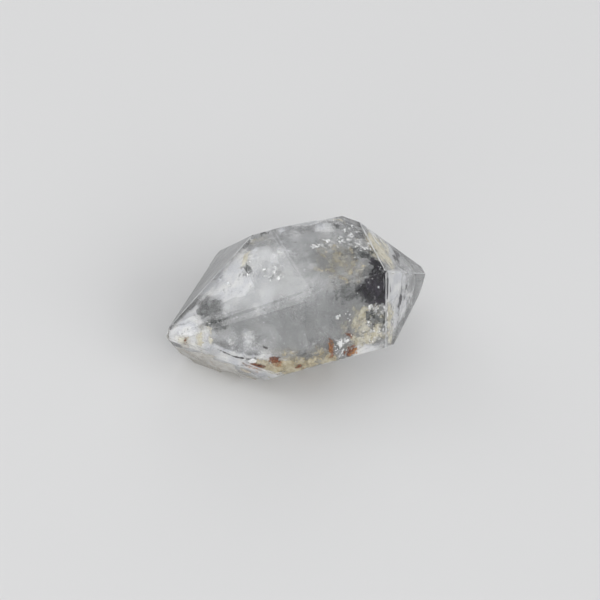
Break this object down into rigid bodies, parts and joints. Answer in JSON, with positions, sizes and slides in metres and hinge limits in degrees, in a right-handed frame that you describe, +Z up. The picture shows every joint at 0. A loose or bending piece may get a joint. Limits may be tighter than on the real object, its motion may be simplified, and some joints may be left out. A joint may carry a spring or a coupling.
{
  "type": "herkimer diamond quartz crystal",
  "caption": "Natural doubly terminated quartz crystal: a short six-sided prism closed by a six-faced point at each end, lying on a prism face; a loose mineral specimen.",
  "frame": {"origin": "middle of the bounding box's footprint, on the plane that the crystal rests on", "axes": "+X along the crystal's long axis (quartz's c axis) towards the blunter, cleaner tip; +Y towards the side that grew against the rock; +Z up from the prism face it rests on"},
  "size_m": [0.0304, 0.0196, 0.016],
  "materials": {
    "quartz": "natural crystal faces, glossy, with broken and stained edges"
  },
  "bodies": {
    "root": {"crystal": "quartz"}
  },
  "joints": []
}
